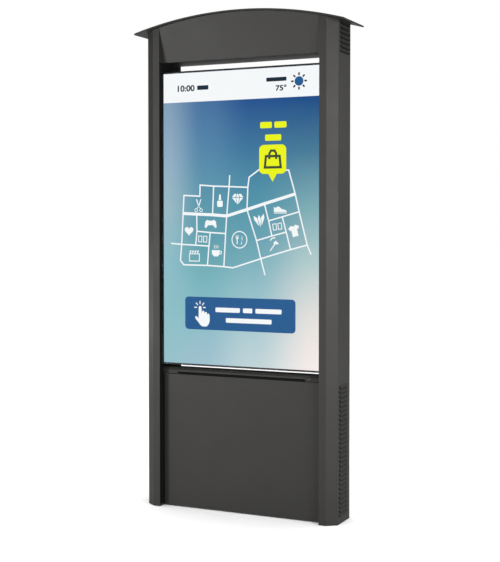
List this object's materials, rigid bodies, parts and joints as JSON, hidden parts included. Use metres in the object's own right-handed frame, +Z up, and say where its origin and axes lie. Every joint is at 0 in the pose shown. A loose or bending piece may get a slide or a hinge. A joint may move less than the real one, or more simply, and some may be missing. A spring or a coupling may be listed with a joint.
{
  "type": "touchscreen kiosk",
  "caption": "Free-standing kiosk: portrait touch display between bevelled pillars under an arched canopy, with a lockable cabinet and louvred vents.",
  "frame": {"origin": "on the floor, in the middle of the kiosk's outline", "axes": "+Z up, +X to the right as seen from the front, +Y to the back; the front door and screen face -Y"},
  "size_m": [0.938, 0.23, 2.055],
  "materials": {
    "painted_frame": "charcoal grey powder coat, fine orange peel, satin",
    "dark_paint": "dark grey powder coat, matt",
    "black_rubber": "closed-cell rubber seal, matt",
    "black_plastic": "black moulded plastic, fine grain",
    "clear_glass": "toughened touch glass, polished",
    "lit_screen": "lit display face",
    "zinc_steel": "zinc-plated steel sheet",
    "lock_metal": "black-nickel-plated zinc casting",
    "cast_aluminium": "bead-blasted anodised aluminium",
    "filter_foam": "open-cell filter foam"
  },
  "bodies": {
    "kiosk": {"base_plate": "zinc_steel", "cabinet_top": "dark_paint", "cable_gland": "black_plastic", "canopy": "painted_frame", "display_driver": "dark_paint", "display_frame": "black_plastic", "display_housing": "dark_paint", "display_rail_left": "zinc_steel", "display_rail_right": "zinc_steel", "door_jamb_front": "dark_paint", "door_jamb_rear": "dark_paint", "door_pivot_lower_front": "zinc_steel", "door_pivot_lower_rear": "zinc_steel", "door_pivot_upper_front": "zinc_steel", "door_pivot_upper_rear": "zinc_steel", "fan_frame_left": "black_plastic", "fan_frame_right": "black_plastic", "filter_left": "filter_foam", "filter_right": "filter_foam", "foot_plate_left": "zinc_steel", "foot_plate_right": "zinc_steel", "header_beam": "zinc_steel", "header_fascia_front": "painted_frame", "header_fascia_rear": "painted_frame", "header_soffit": "painted_frame", "lcd_panel": "lit_screen", "lock_barrel_front": "lock_metal", "lock_barrel_rear": "lock_metal", "media_player": "cast_aluminium", "mounting_plate": "zinc_steel", "network_switch": "black_plastic", "pillar_left": "painted_frame", "pillar_right": "painted_frame", "power_supply": "zinc_steel", "rear_cover": "painted_frame", "sill_front": "painted_frame", "sill_plate_front_left": "dark_paint", "sill_plate_front_right": "dark_paint", "sill_plate_rear_left": "dark_paint", "sill_plate_rear_right": "dark_paint", "sill_rear": "painted_frame", "touch_glass": "clear_glass", "vent_lower_left": "painted_frame", "vent_lower_right": "painted_frame", "vent_upper_left": "painted_frame", "vent_upper_right": "painted_frame"},
    "door_front": {"door_front": "painted_frame", "door_stiffener_front": "dark_paint", "door_seal_front": "black_rubber"},
    "door_rear": {"door_rear": "painted_frame", "door_stiffener_rear": "dark_paint", "door_seal_rear": "black_rubber"},
    "lock_front": {"lock_plug_front": "lock_metal"},
    "lock_rear": {"lock_plug_rear": "lock_metal"},
    "fan_left": {"fan_rotor_left": "black_plastic"},
    "fan_right": {"fan_rotor_right": "black_plastic"}
  },
  "joints": [
    {"name": "front_door_hinge", "type": "hinge", "parent": "kiosk", "child": "door_front", "pos_m": [-0.3485, -0.054, 0], "axis": [0, 0, -1], "range_deg": [0, 90]},
    {"name": "rear_door_hinge", "type": "hinge", "parent": "kiosk", "child": "door_rear", "pos_m": [0.3485, 0.0795, 0], "axis": [0, 0, -1], "range_deg": [0, 90]},
    {"name": "front_lock_turn", "type": "hinge", "parent": "kiosk", "child": "lock_front", "pos_m": [0.307, -0.0615, 0.572], "axis": [0, -1, 0], "range_deg": [0, 90]},
    {"name": "rear_lock_turn", "type": "hinge", "parent": "kiosk", "child": "lock_rear", "pos_m": [-0.307, 0.087, 0.552], "axis": [0, 1, 0], "range_deg": [0, 90]},
    {"name": "fan_left_spin", "type": "hinge", "parent": "kiosk", "child": "fan_left", "pos_m": [-0.41, 0.005, 1.92915], "axis": [1, 0, 0], "continuous": true},
    {"name": "fan_right_spin", "type": "hinge", "parent": "kiosk", "child": "fan_right", "pos_m": [0.41, 0.005, 1.92915], "axis": [1, 0, 0], "continuous": true}
  ]
}
